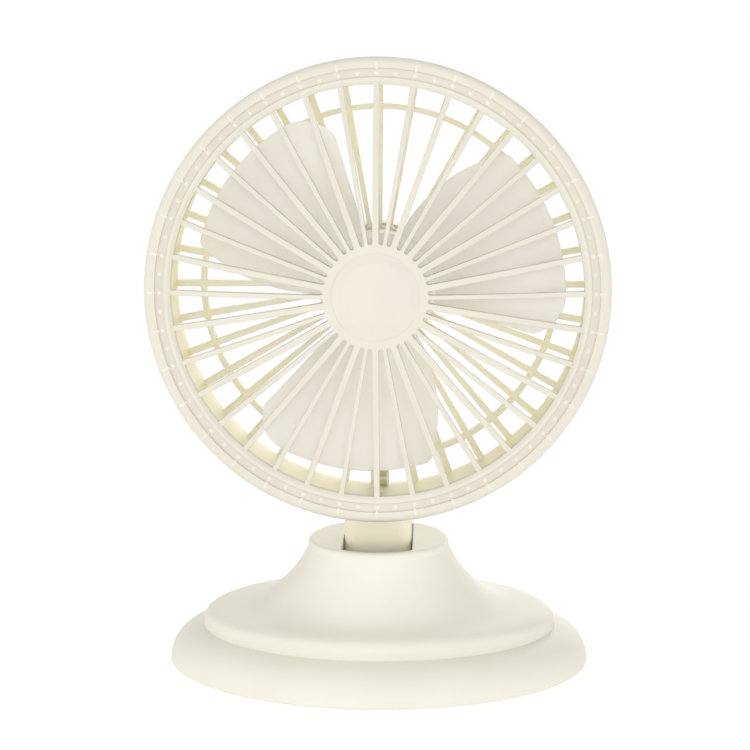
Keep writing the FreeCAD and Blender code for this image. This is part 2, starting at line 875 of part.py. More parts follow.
def makeRotor():
    shaft = cylinder("motor_shaft_part", s.shaftRadius, s.shaftBack - s.shaftFront,
                     z=-s.shaftBack)
    node(onHead(group("motor_shaft_whole", shaft)), "motor_shaft")

    bore = s.shaftRadius + s.pressFit
    hub = ring("core_hub_body", bore, s.coreHub, -s.hubBackEnd, -s.hubFrontEnd)
    length = s.coreBack - s.coreFront
    things = [hub]
    windings = []
    shoe = s.coreRadius - s.coreRim
    for index in range(int(s.poleCount.value)):
        turn = index * 360 / s.poleCount + 30
        arm = block("pole_arm_%d" % index, s.coreHub - 0.5, shoe + 0.5,
                    -s.poleWidth / 2, s.poleWidth / 2, -s.coreBack, -s.coreFront)
        outer = cylinder("pole_outer_%d" % index, s.coreRadius, length, z=-s.coreBack)
        bind(outer, Angle=s.poleSweep)
        place(outer, 0, 0, -s.coreBack, FreeCAD.Vector(0, 0, 1), -s.poleSweep / 2)
        inner = cylinder("pole_inner_%d" % index, shoe, length, z=-s.coreBack)
        pole = fuse("pole_%d" % index, arm, cut("pole_shoe_%d" % index, outer, inner))
        things.append(place(pole, axis=FreeCAD.Vector(0, 0, 1), angle=turn))
        gap = s.windingGap
        wide = s.poleWidth / 2 + s.windingThick
        coilInner = s.coreHub + s.windingThick
        coilOuter = shoe - s.windingThick
        coil = block("coil_%d" % index, coilInner, coilOuter, -wide, wide,
                     -s.coreBack - s.windingThick, s.windingThick - s.coreFront)
        hole = block("coil_hole_%d" % index, coilInner - 1, coilOuter + 1,
                     -s.poleWidth / 2 - gap, s.poleWidth / 2 + gap,
                     -s.coreBack - gap, gap - s.coreFront)
        windings.append(place(cut("winding_%d" % index, coil, hole),
                              axis=FreeCAD.Vector(0, 0, 1), angle=turn))
    node(onHead(fuse("armature_core_whole", *things)), "armature_core")
    node(onHead(group("armature_windings_group", *windings)), "armature_windings")
    node(onHead(ring("commutator_body", bore, s.commutatorRadius,
                     -s.commutatorBack, -s.hubBackEnd)), "commutator")
    front = ring("thrust_front", bore, s.thrustRadius,
                 -s.hubFrontEnd, s.thrustThick - s.hubFrontEnd)
    back = ring("thrust_back", bore, s.thrustRadius,
                -s.commutatorBack - s.thrustThick * 0.8, -s.commutatorBack)
    node(onHead(group("thrust_washers_group", front, back)), "thrust_washers")


# --- blade set ----------------------------------------------------------------------------------


def sectionPlane(body, place, depth, slope, half, arc):
    """A thin, slightly dished section across the blade; its clockwise side stands forward."""
    sketch = newSketch(body, "YZ_Plane", place)
    rise = slope * half
    skin = s.bladeThick / 2
    chain(sketch, [
        (-half, rise - depth - skin),
        (half, -rise - depth - skin, arc),
        (half, skin - rise - depth),
        (-half, rise - depth + skin, -arc),
    ])
    return sketch


def makeBladeSet():
    drum = newBody("drum_body")
    bore = s.shaftRadius + s.pressFit
    inner = s.drumRadius - s.drumWall
    face = s.drumFront + s.drumWall
    revolve(drum, [
        (0, -s.drumFront),
        (0, -s.shaftFront + s.shaftFit),
        (bore, -s.shaftFront + s.shaftFit),
        (bore, -s.bossBack),
        (s.bossRadius, -s.bossBack),
        (s.bossRadius, -face),
        (inner - s.drumRound + s.drumWall, -face),
        (inner, -face - s.drumRound + s.drumWall, s.drumWall - s.drumRound),
        (inner, -s.drumBack),
        (s.drumRadius, -s.drumBack),
        (s.drumRadius, -s.drumFront - s.drumRound),
        (s.drumRadius - s.drumRound, -s.drumFront, s.drumRound),
    ])
    sheet = newBody("blade_sheet")
    sections = [
        sectionPlane(sheet, s.rootSection, s.rootDepth, s.rootSlope, s.rootHalf, s.rootArc),
        sectionPlane(sheet, s.middleSection, s.middleDepth, s.middleSlope, s.middleHalf,
                     s.middleArc),
        sectionPlane(sheet, s.tipSection, s.tipDepth, s.tipSlope, s.tipHalf, s.tipArc),
    ]
    loft = sheet.newObject("PartDesign::AdditiveLoft", "bladeLoft")
    loft.Profile = sections[0]
    loft.Sections = sections[1:]
    outline = newBody("blade_outline")
    sketch = newSketch(outline, "XY_Plane", -s.bossBack - s.drumWall)
    chain(sketch, [
        (*fromAxis(s.bladeRoot, -37), -s.bladeRoot),
        fromAxis(s.tipRadius * 0.855, -34.8),
        (*fromAxis(s.tipRadius, -20), s.tipCornerFront),
        (*fromAxis(s.tipRadius, 25.5), s.tipRadius),
        (*fromAxis(s.tipRadius * 0.945, 28.5), s.tipCornerBack),
        (*fromAxis(s.bladeRoot, 48), s.bladeEdgeArc),
    ])
    pad(outline, sketch, s.bossBack + s.drumWall + s.hubForward)
    blades = []
    for index in range(int(s.bladeCount.value)):
        blade = common("blade_%d" % index, sheet, outline)
        turn = index * 360 / s.bladeCount + s.bladeTurn
        blades.append(place(blade, axis=FreeCAD.Vector(0, 0, 1), angle=turn))
    return node(onHead(fuse("fan_blade_whole", drum, *blades)), "fan_blade")


# --- stem ---------------------------------------------------------------------------------------


def makeStem():
    column = newBody("stem_column")
    outline = newSketch(column, "XY_Plane", s.tiltHeight)
    halfWidth = s.stemWidth / 2
    halfDepth = s.stemDepth / 2
    rounded2d(outline, -halfWidth, halfWidth, -halfDepth, halfDepth, s.stemRound)
    top = s.headHeight - s.wallOuterFront + s.stemWidth / 2
    pad(column, outline, top - s.tiltHeight)
    knuckle = alongX("stem_knuckle", halfDepth, -halfWidth, halfWidth, 0, s.tiltHeight)
    solid = fuse("stem_solid", column, knuckle)
    head = alongY("stem_saddle", s.wallOuterFront + s.stemTopGap, -s.headRadius, s.headRadius,
                  0, s.headHeight)
    bore = alongX("stem_bore", s.tiltBolt + s.tiltFit, -s.stemWidth, s.stemWidth,
                  0, s.tiltHeight)
    cavity = block("stem_cavity", s.stemWall - halfWidth, halfWidth - s.stemWall,
                   s.stemWall - halfDepth, halfDepth - s.stemWall, s.stemFloor, top)
    lead = cylinder("stem_lead_bore", s.leadBore, s.stemFloor, 0, s.leadBoreBack, 0)
    cutters = [head, bore, lead]
    tabFace = s.tabFront - s.ringForward
    sinks = []
    for side in (-1, 1):
        for name, x, z in (("upper", s.upperScrewSide, s.upperScrewHeight),
                           ("lower", s.lowerScrewSide, s.lowerScrewHeight)):
            label = "%s_%d" % (name, side > 0)
            cutters.append(alongY("stem_screw_bore_" + label, s.screwHole, -halfDepth + s.stemWall,
                                  halfDepth, side * x, z))
            sinks.append(alongY("stem_screw_sink_" + label, s.screwHead + s.shaftFit,
                                halfDepth - s.screwHeadHeight, halfDepth + 1, side * x, z))
    bosses = []
    for side in (-1, 1):
        for name, low, high in (
                ("front", s.stemWall / 2 - halfDepth, tabFace - s.postGap),
                ("back", tabFace + s.tabBack - s.tabFront + s.postGap,
                 halfDepth - s.stemWall / 2)):
            post = alongY("stem_boss_%s_%d" % (name, side > 0), s.stemBoss, low, high,
                          side * s.upperScrewSide, s.upperScrewHeight)
            bosses.append(post)
    shell = cut("stem_shell", solid, cavity)
    hollow = cut("stem_hollow", fuse("stem_bossed", shell, *bosses), *cutters)
    front = block("stem_front_half", -s.stemWidth, s.stemWidth, -s.stemDepth, 0, 0, top)
    back = block("stem_back_half", -s.stemWidth, s.stemWidth, 0, s.stemDepth, 0, top)
    node(common("stem_front_part", hollow, front), "stem_front")
    node(cut("stem_back_part", common("stem_back_whole", hollow, back), *sinks), "stem_back")


# --- screws -------------------------------------------------------------------------------------



def screwY(name, x, z, seat, length, way=1):
    """A screw along Y: its head stands on seat and its shank points to -Y for way 1."""
    head = alongY(name + "_head", s.screwHead, seat - s.screwHeadHeight if way < 0 else seat,
                  seat if way < 0 else seat + s.screwHeadHeight, x, z)
    shank = alongY(name + "_shank", s.screwRadius, seat if way < 0 else seat - length,
                   seat + length if way < 0 else seat, x, z)
    return fuse(name, head, shank)


def screwZ(name, x, y, seat, length, head, headHeight, shank, way):
    """A screw along Z: the shank points up for way 1, down for way -1."""
    if way > 0:
        cap = cylinder(name + "_head", head, headHeight, x, y, seat - headHeight)
        stalk = cylinder(name + "_shank", shank, length, x, y, seat)
    else:
        cap = cylinder(name + "_head", head, headHeight, x, y, seat)
        stalk = cylinder(name + "_shank", shank, length, x, y, seat - length)
    return fuse(name, cap, stalk)


def makeScrews():
    seat = s.stemDepth / 2 - s.screwHeadHeight
    reach = s.stemDepth - s.stemWall - s.screwHeadHeight - 0.5
    stem = []
    for side in (-1, 1):
        stem.append(screwY("stem_screw_upper_%d" % (side > 0), side * s.upperScrewSide,
                           s.upperScrewHeight, seat, reach))
        stem.append(screwY("stem_screw_lower_%d" % (side > 0), side * s.lowerScrewSide,
                           s.lowerScrewHeight, seat, reach))
    node(group("stem_screws_group", *stem), "stem_screws")

    motor = []
    for side in (-1, 1):
        motor.append(screwZ("motor_screw_%d" % (side > 0), side * s.motorScrewPlace, zero,
                            -s.cupFloor, s.floorThick + s.canWall + 2 * s.guardSeat,
                            s.screwHead, s.screwHeadHeight * 0.8, s.motorScrew, -1))
    node(onHead(group("motor_screws_group", *motor)), "motor_screws")

    cover = []
    for turn in (0, 180):
        angle = s.postAngle + turn
        x, y = fromAxis(s.postCircle, angle)
        cover.append(screwZ("cover_screw_%d" % turn, x, y, s.coverSink - s.coverBack,
                            s.coverScrewLength, s.screwHead, s.screwHeadHeight, s.screwRadius, 1))
    node(onHead(group("cover_screws_group", *cover)), "cover_screws")

    base = []
    for index, (sideX, sideY) in enumerate(((-1, -1), (1, -1), (1, 1), (-1, 1))):
        base.append(screwZ("base_screw_%d" % index, sideX * s.baseScrewSide,
                           sideY * s.baseScrewBack, s.plateLow + s.screwHeadHeight,
                           s.baseScrewLength, s.screwHead, s.screwHeadHeight, s.screwRadius, 1))
    node(group("base_screws_group", *base), "base_screws")

    board = []
    for side in (-1, 1):
        board.append(screwZ("board_screw_%d" % (side > 0), side * s.boardScrewSide,
                            s.boardScrewBack, s.boardLow + s.boardThick,
                            s.boardThick + 1.5, s.screwHead * 0.8, s.screwHeadHeight * 0.8,
                            s.motorScrew, -1))
    node(group("board_screws_group", *board), "board_screws")




# --- tilt joint ---------------------------------------------------------------------------------


def makeTiltJoint():
    half = s.stemWidth / 2
    cheekIn = half + 2 * s.washerGap + s.washerThick
    cheekOut = cheekIn + s.cheekThick
    shankEnd = cheekOut + s.springThick + s.nutHeight + s.boltOver
    bore = s.tiltBolt + 2 * s.tiltFit
    shank = alongX("tilt_shank", s.tiltBolt, -shankEnd, cheekOut + s.boltHeadHeight / 2,
                   0, s.tiltHeight)
    head = alongX("tilt_head", s.boltHeadRadius, cheekOut, cheekOut + s.boltHeadHeight,
                  0, s.tiltHeight)
    node(fuse("tilt_bolt_whole", shank, head), "tilt_bolt")
    washers = []
    for side in (-1, 1):
        start = side * (half + s.washerGap)
        end = side * (half + s.washerGap + s.washerThick)
        low, high = (start, end) if side > 0 else (end, start)
        disc = alongX("washer_disc_%d" % (side > 0), s.washerRadius, low, high, 0, s.tiltHeight)
        hole = alongX("washer_hole_%d" % (side > 0), bore, low, high, 0, s.tiltHeight)
        washers.append(cut("washer_%d" % (side > 0), disc, hole))
    node(group("tilt_washers_group", *washers), "tilt_washers")
    springEnd = cheekOut + s.springThick
    disc = alongX("spring_disc", s.boltHeadRadius, -springEnd, -cheekOut, 0, s.tiltHeight)
    hole = alongX("spring_hole", bore, -springEnd, -cheekOut, 0, s.tiltHeight)
    node(cut("spring_part", disc, hole), "tilt_spring_washer")
    nut = doc.addObject("Part::Prism", "nut_prism")
    nut.Polygon = 6
    bind(nut, Circumradius=s.boltHeadRadius * 1.1, Height=s.nutHeight)
    place(nut, -springEnd - s.nutHeight, 0, s.tiltHeight, FreeCAD.Vector(0, 1, 0), 90)
    hole = alongX("nut_hole", bore, -springEnd - s.nutHeight, -springEnd, 0, s.tiltHeight)
    node(cut("nut_part", nut, hole), "tilt_nut")


# --- base ---------------------------------------------------------------------------------------

roundSteps = 6

# from the crease to the neck: how far out it still is, and how far up, both from 0 to 1
shoulderCurve = [
    (1.0, 0.03), (0.992, 0.10), (0.965, 0.165), (0.91, 0.206), (0.82, 0.234), (0.70, 0.257),
    (0.57, 0.290), (0.44, 0.349), (0.32, 0.448), (0.21, 0.585), (0.12, 0.720),
    (0.05, 0.865), (0.012, 0.955), (0.0, 1.0),
]


def ovalBlock(name, width, depth, low, high):
    body = newBody(name)
    sketch = newSketch(body, "XY_Plane", asSize(low))
    oval2d(sketch, width, depth)
    pad(body, sketch, high - low)
    return body


def stack(name, stations, ruled=False):
    """A solid through level ovals. A station is (half width, half depth, height)."""
    ovals = []
    for index, (width, depth, height) in enumerate(stations):
        oval = doc.addObject("Part::Ellipse", "%s_oval_%d" % (name, index))
        bind(oval, MajorRadius=width, MinorRadius=depth)
        ovals.append(place(oval, 0, 0, height))
    loft = doc.addObject("Part::Loft", name)
    loft.Sections = ovals
    loft.Solid = True
    loft.Ruled = ruled
    return loft


def tier(name, width, depth, low, high, radius, edge=None):
    """An oval step: upright wall, then a quarter round up to its top."""
    foot = high - radius
    wall = [(width, depth, low), (width, depth, foot)]
    if edge is not None:
        wall = [(width - edge, depth - edge, low), (width, depth, low + edge), wall[1]]
    stations = []
    for index in range(roundSteps + 1):
        turn = math.radians(90 * index / roundSteps)
        inwards = radius * (1 - math.cos(turn))
        stations.append((width - inwards, depth - inwards, foot + radius * math.sin(turn)))
    return [stack(name + "_wall", wall, ruled=True), stack(name + "_round", stations)]


def baseForm(name, inset):
    """Lower tier, then one smooth shoulder up to the neck; inset moves the skin in and down."""
    width = s.baseHalfWidth - inset
    depth = s.baseHalfDepth - inset
    low = s.baseLift - 2 * inset
    edge = s.baseEdge if inset is zero else None
    things = tier(name + "_lower", width, depth, low, s.tierTop - inset,
                  s.tierRound - inset, edge)
    width = s.baseHalfWidth - s.tierRound
    depth = s.baseHalfDepth - s.tierRound
    flareTop = s.neckTop - 2 * s.neckRound
    stations = []
    for out, up in shoulderCurve:
        stations.append((s.neckWidth + (width - s.neckWidth) * out - inset,
                         s.neckDepth + (depth - s.neckDepth) * out - inset,
                         s.tierTop + (flareTop - s.tierTop) * up - inset))
    foot = stations[0]
    things.append(stack(name + "_foot", [(foot[0], foot[1], low), foot], ruled=True))
    things.append(stack(name + "_shoulder", stations))
    if inset is zero:
        things += tier(name + "_neck", s.neckWidth, s.neckDepth, flareTop, s.neckTop,
                       s.neckRound)
    else:
        things.append(ovalBlock(name + "_neck", s.neckWidth - inset, s.neckDepth - inset,
                                flareTop - inset, s.neckTop - inset))
    return fuse(name, *things)


def makeBaseShell():
    outer = baseForm("base_outer", zero)
    inner = baseForm("base_inner", s.baseWall)
    skin = cut("base_skin", outer, inner)
    cheekIn = s.stemWidth / 2 + 2 * s.washerGap + s.washerThick
    additions = []
    for side in (-1, 1):
        low = side * cheekIn
        high = side * (cheekIn + s.cheekThick)
        low, high = (low, high) if side > 0 else (high, low)
        additions.append(block("cheek_%d" % (side > 0), low, high, -s.cheekHalf, s.cheekHalf,
                               s.cheekFoot, s.neckTop - s.baseWall / 2))
    plateTop = s.plateLow + s.plateThick
    for index, (sideX, sideY) in enumerate(((-1, -1), (1, -1), (1, 1), (-1, 1))):
        additions.append(cylinder("base_boss_%d" % index, s.baseBoss,
                                  s.domeTop - s.baseWall - plateTop,
                                  sideX * s.baseScrewSide, sideY * s.baseScrewBack, plateTop))
    additions.append(block("recess_liner", -s.panelHalf - s.baseWall,
                           s.panelHalf + s.baseWall, s.panelPlace - s.baseWall,
                           s.baseHalfDepth + s.baseWall, s.baseLift, s.tierTop))
    trimmed = common("base_inside", fuse("base_additions", *additions), outer)
    slotBox = block("slot_box", -s.slotWidth / 2, s.slotWidth / 2, -s.baseHalfDepth,
                    s.baseHalfDepth, s.domeTop, s.neckTop + s.baseWall)
    slotOval = ovalBlock("slot_oval", s.neckWidth - s.slotRim, s.neckDepth - s.slotRim,
                         s.tiltHeight, s.neckTop + s.baseWall)
    tools = [common("slot", slotBox, slotOval)]
    tools.append(block("rear_flat", -s.panelHalf, s.panelHalf, s.panelPlace,
                       s.baseHalfDepth + s.baseWall, plateTop, s.tierTop + s.baseWall))
    tools.append(alongX("cheek_bore", s.tiltBolt + 2 * s.tiltFit, -s.slotWidth, s.slotWidth,
                        0, s.tiltHeight))
    for index, (sideX, sideY) in enumerate(((-1, -1), (1, -1), (1, 1), (-1, 1))):
        tools.append(cylinder("base_bore_%d" % index, s.screwHole, s.baseScrewLength,
                              sideX * s.baseScrewSide, sideY * s.baseScrewBack, plateTop))
    boardTop = s.boardLow + s.boardThick
    gap = s.knobPlay
    tools.append(block("socket_window", s.socketSide - s.socketWidth / 2 - gap,
                       s.socketSide + s.socketWidth / 2 + gap,
                       s.panelPlace - 2 * s.baseWall, s.panelPlace + 1,
                       boardTop - gap, boardTop + s.socketHeight + 2 * gap))
    middle = boardTop + s.switchHeight / 2
    tools.append(block("knob_window", s.switchSide - s.knobTravel / 2 - s.knobWidth / 2 - gap,
                       s.switchSide + s.knobTravel / 2 + s.knobWidth / 2 + gap,
                       s.panelPlace - 2 * s.baseWall, s.panelPlace + 1,
                       middle - s.knobHeight / 2 - gap, middle + s.knobHeight / 2 + gap))
    shell = cut("base_shell_part", fuse("base_walls", skin, trimmed), *tools)
    return node(shell, "base_shell")


def makeBasePlate():
    inset = s.baseWall + s.plateGap
    top = s.plateLow + s.plateThick
    width = s.baseHalfWidth - inset
    depth = s.baseHalfDepth - inset
    oval = ovalBlock("plate_oval", width, depth, s.plateLow, top)
    things = [oval]
    for side in (-1, 1):
        things.append(cylinder("board_post_%d" % (side > 0), s.baseBoss * 0.7,
                               s.boardLow - top, side * s.boardScrewSide, s.boardScrewBack, top))
        things.append(cylinder("stake_%d" % (side > 0), s.stakeRadius,
                               s.ballastThick + s.stakeOver, side * s.stakeSide, 0, top))
    tools = [block("plate_notch", -s.panelHalf - s.baseWall - s.plateGap,
                   s.panelHalf + s.baseWall + s.plateGap,
                   s.panelPlace - s.baseWall - s.plateGap, s.baseHalfDepth, 0, top + 1)]
    for index, (sideX, sideY) in enumerate(((-1, -1), (1, -1), (1, 1), (-1, 1))):
        x = sideX * s.baseScrewSide
        y = sideY * s.baseScrewBack
        tools.append(cylinder("plate_bore_%d" % index, s.screwHole, top, x, y, 0))
        tools.append(cylinder("plate_sink_%d" % index, s.screwHead + s.plateGap / 2,
                              s.plateLow + s.screwHeadHeight, x, y, 0))
        tools.append(cylinder("plate_foot_%d" % index, s.footRadius + s.shaftFit,
                              s.plateLow + s.footSink, sideX * s.footSide,
                              sideY * s.footBack, 0))
    for side in (-1, 1):
        tools.append(cylinder("board_bore_%d" % (side > 0), s.motorScrew + s.shaftFit,
                              s.boardLow, side * s.boardScrewSide, s.boardScrewBack, top - 0.5))
    return node(cut("base_plate_part", fuse("plate_solid", *things), *tools), "base_plate")


def makeFeet():
    feet = []
    for index, (sideX, sideY) in enumerate(((-1, -1), (1, -1), (1, 1), (-1, 1))):
        feet.append(cylinder("foot_%d" % index, s.footRadius, s.plateLow + s.footSink,
                             sideX * s.footSide, sideY * s.footBack, 0))
    return node(group("feet_group", *feet), "rubber_feet")


def makeBallast():
    body = newBody("ballast_body")
    low = s.plateLow + s.plateThick
    sketch = newSketch(body, "XY_Plane", low)
    half = s.ballastHalfWidth
    rounded2d(sketch, -half, half, -s.ballastFront, s.ballastBack, s.ballastRound)
    pad(body, sketch, s.ballastThick)
    holes = newSketch(body, "XY_Plane", low)
    for side in (-1, 1):
        circle2d(holes, side * s.stakeSide, 0, s.stakeRadius + s.shaftFit)
    pocket(body, holes, s.ballastThick, backwards=True)
    return node(body, "ballast_plate")


# --- socket and switch --------------------------------------------------------------------------


def makeBoard():
    top = s.boardLow + s.boardThick
    board = block("board_solid", -s.boardWidth / 2, s.boardWidth / 2, s.boardFront, s.boardBack,
                  s.boardLow, top)
    bores = []
    for side in (-1, 1):
        bores.append(cylinder("board_hole_%d" % (side > 0), s.motorScrew + 2 * s.shaftFit,
                              s.boardThick, side * s.boardScrewSide, s.boardScrewBack,
                              s.boardLow))
    node(cut("board_part", board, *bores), "circuit_board")

    socket = newBody("usb_socket_body")
    for inset, start in ((zero, s.socketFront), (s.socketWall, s.socketFront + 1.2)):
        sketch = newSketch(socket, "XZ_Plane", -s.socketBack)
        left = s.socketSide - s.socketWidth / 2 + inset
        right = s.socketSide + s.socketWidth / 2 - inset
        low = top + inset
        high = top + s.socketHeight - inset
        rounded2d(sketch, left, right, low, high, s.socketCorner - inset)
        if inset is zero:
            pad(socket, sketch, s.socketBack - start)
        else:
            pocket(socket, sketch, s.socketBack - start, backwards=True)
    middle = top + s.socketHeight / 2
    tongue = newSketch(socket, "XZ_Plane", -s.socketFront - 1.0)
    box2d(tongue, s.socketSide - s.tongueWidth / 2, s.socketSide + s.tongueWidth / 2,
          middle - s.tongueThick / 2, middle + s.tongueThick / 2)
    pad(socket, tongue, s.socketBack - s.socketFront - 2.0, backwards=True)
    node(socket, "usb_socket")


def makeSwitch():
    top = s.boardLow + s.boardThick
    middle = top + s.switchHeight / 2
    back = s.panelPlace - s.baseWall - s.knobPlay
    front = back - s.switchDepth
    gap = s.knobPlay
    case = block("switch_case", s.switchSide - s.switchWidth / 2, s.switchSide + s.switchWidth / 2,
                 front, back, top, top + s.switchHeight)
    travel = s.knobTravel / 2 + s.knobWidth / 2
    slot = block("switch_slot", s.switchSide - travel - gap, s.switchSide + travel + gap,
                 back - s.switchDepth * 0.6, back + 1,
                 middle - s.knobHeight / 2 - gap, middle + s.knobHeight / 2 + gap)
    node(cut("switch_part", case, slot), "switch_body")
    left = s.switchSide - travel
    knob = block("knob_solid", left, left + s.knobWidth, back - s.switchDepth * 0.6 + gap,
                 s.knobBack, middle - s.knobHeight / 2, middle + s.knobHeight / 2)
    node(knob, "switch_knob")


# --- whole fan ----------------------------------------------------------------------------------


def isBad(thing):
    return "Invalid" in thing.State or "Error" in thing.State


def main():
    makeFrontGuard()
    makeBadge()
    makeRearGuard()
    makeMotorCover()
    makeMotor()
    makeRotor()
    makeBladeSet()
    makeStem()
    makeScrews()
    makeTiltJoint()
    makeBaseShell()
    makeBasePlate()
    makeFeet()
    makeBallast()
    makeBoard()
    makeSwitch()
    doc.recompute()
    broken = [thing.Label for thing in doc.Objects if isBad(thing)]
    for thing in nodes:
        if thing.Shape.isNull() or not thing.Shape.isValid() or not thing.Shape.Solids:
            broken.append(thing.Label)
    if broken:
        raise RuntimeError("not built: " + ", ".join(broken))
    os.makedirs("parts", exist_ok=True)
    for thing in nodes:
        thing.Shape.exportStep("parts/%s.step" % thing.Label)
        print("%-20s %2d solid  %9.1f mm3" % (thing.Label, len(thing.Shape.Solids),
                                             thing.Shape.Volume))


main()
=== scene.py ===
import json
import math

import bmesh
import bpy
from mathutils import Matrix, Vector


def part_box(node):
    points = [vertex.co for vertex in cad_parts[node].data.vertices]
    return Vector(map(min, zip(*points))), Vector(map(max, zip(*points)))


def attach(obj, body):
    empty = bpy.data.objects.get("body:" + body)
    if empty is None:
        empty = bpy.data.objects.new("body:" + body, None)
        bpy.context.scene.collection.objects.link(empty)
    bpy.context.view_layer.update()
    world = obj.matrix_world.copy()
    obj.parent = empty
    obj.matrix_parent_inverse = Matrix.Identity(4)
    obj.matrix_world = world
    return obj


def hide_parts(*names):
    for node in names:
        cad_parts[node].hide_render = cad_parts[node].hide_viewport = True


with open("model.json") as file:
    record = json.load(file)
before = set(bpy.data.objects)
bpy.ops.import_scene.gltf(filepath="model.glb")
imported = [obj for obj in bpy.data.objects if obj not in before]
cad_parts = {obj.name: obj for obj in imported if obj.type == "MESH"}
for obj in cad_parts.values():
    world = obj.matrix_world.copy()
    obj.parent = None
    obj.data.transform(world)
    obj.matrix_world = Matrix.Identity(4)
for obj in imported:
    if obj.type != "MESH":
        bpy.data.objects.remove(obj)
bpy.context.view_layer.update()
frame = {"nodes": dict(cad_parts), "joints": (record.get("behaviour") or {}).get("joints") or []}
nodes = frame["nodes"]
joints = {joint["name"]: joint for joint in frame["joints"]}
mm = 0.001
print("frame loaded:", len(nodes), "nodes")


view = {
    "distance": 541.4,  # from the base's middle to the lens
    "side": 2.93,
    "height": 183.9,
    "turn": 1.80,  # degrees round the object
    "down": 6.64,
    "lens": 1659.4,  # focal length, in the same measure as the frame's width
    "frame": 750,
    "sensor": 36,
    "shiftX": -0.0165,
    "shiftY": -0.1,
    "clip": (0.01, 20),
}


def makeCamera():
    turn = math.radians(view["turn"])
    data = bpy.data.cameras.new("camera")
    data.sensor_width = view["sensor"]
    data.lens = view["sensor"] * view["lens"] / view["frame"]
    data.shift_x = view["shiftX"]
    data.shift_y = view["shiftY"]
    data.clip_start, data.clip_end = view["clip"]
    camera = bpy.data.objects.new("camera", data)
    side = view["side"] * mm
    far = view["distance"] * mm
    camera.location = (side * math.cos(turn) + far * math.sin(turn),
                       side * math.sin(turn) - far * math.cos(turn),
                       view["height"] * mm)
    camera.rotation_euler = (math.radians(90 - view["down"]), 0, turn)
    bpy.context.scene.collection.objects.link(camera)
    bpy.context.scene.camera = camera
    bpy.context.scene.view_settings.view_transform = "Standard"


light = {
    "front": (0.9, (0.027, -0.74, 0.215), 0.24, 0.24),  # power, place, width and height
    "low": (0.6, (-0.03, -0.76, 0.08), 1.3, 0.13),
    "left": (5.2, (-1.2, -0.5, 0.7), 0.9, 0.9),
    "right": (3.4, (1.2, -0.5, 0.45), 0.9, 0.9),
    "top": (0.6, (0.0, 0.0, 1.3), 1.0, 1.0),
    "back": (7.5, (0.3, 1.35, 0.45), 1.2, 0.8),
    "aim": (0.0, 0.0, 0.1),
    # the narrow lamp for the stem: power, place, aim, angle, blend and size
    "stem": (2.0, (0.0, -0.72, 0.035), (0.0, -0.01, 0.0505), 2.6, 0.6, 0.02),
    "sky": 0.5,
}


def addLamp(name, kind, power, place, aim):
    data = bpy.data.lights.new(name, kind)
    data.energy = power
    lamp = bpy.data.objects.new(name, data)
    lamp.location = place
    lamp.rotation_euler = (Vector(aim) - Vector(place)).to_track_quat("-Z", "Y").to_euler()
    bpy.context.scene.collection.objects.link(lamp)
    return data


def makeLamps():
    for name in ("front", "low", "left", "right", "top", "back"):
        power, place, width, height = light[name]
        data = addLamp(name, "AREA", power, place, light["aim"])
        data.shape = "ELLIPSE"
        data.size = width
        data.size_y = height
    power, place, aim, angle, blend, size = light["stem"]
    data = addLamp("stem", "SPOT", power, place, aim)
    data.spot_size = math.radians(angle)
    data.spot_blend = blend
    data.shadow_soft_size = size


class Wire:  # one output in a node tree, with Python's own arithmetic

    def __init__(self, tree, socket):
        self.tree = tree
        self.socket = socket

    def math(self, operation, first, second=None):
        node = self.tree.make("ShaderNodeMath", {"operation": operation})
        for index, value in enumerate((first, second)):
            if value is not None:
                self.tree.put(node.inputs[index], value)
        return Wire(self.tree, node.outputs[0])

    def __add__(self, other):
        return self.math("ADD", self, other)

    __radd__ = __add__

    def __mul__(self, other):
        return self.math("MULTIPLY", self, other)

    __rmul__ = __mul__

    def __sub__(self, other):
        return self.math("SUBTRACT", self, other)

    def __rsub__(self, other):
        return self.math("SUBTRACT", other, self)

    def __truediv__(self, other):
        return self.math("DIVIDE", self, other)

    def __rtruediv__(self, other):
        return self.math("DIVIDE", other, self)

    def __pow__(self, other):
        return self.math("POWER", self, other)

    def __lt__(self, other):
        return self.math("LESS_THAN", self, other)

    def __gt__(self, other):
        return self.math("GREATER_THAN", self, other)

    def part(self, operation):
        return self.math(operation, self)

    def larger(self, other):
        return self.math("MAXIMUM", self, other)

    def stripes(self, pitch):  # from 0 to 1 over each pitch
        return (self / (pitch * mm)).part("FRACT")

    def waves(self, pitch):  # up to 1 and down to 0 over each pitch
        return (self * (2 * math.pi / (pitch * mm))).part("SINE") * 0.5 + 0.5

    def between(self, low, high):
        node = self.tree.make("ShaderNodeMapRange", {"interpolation_type": "SMOOTHSTEP"},
                              {"Value": self, "From Min": low, "From Max": high})
        return Wire(self.tree, node.outputs["Result"])


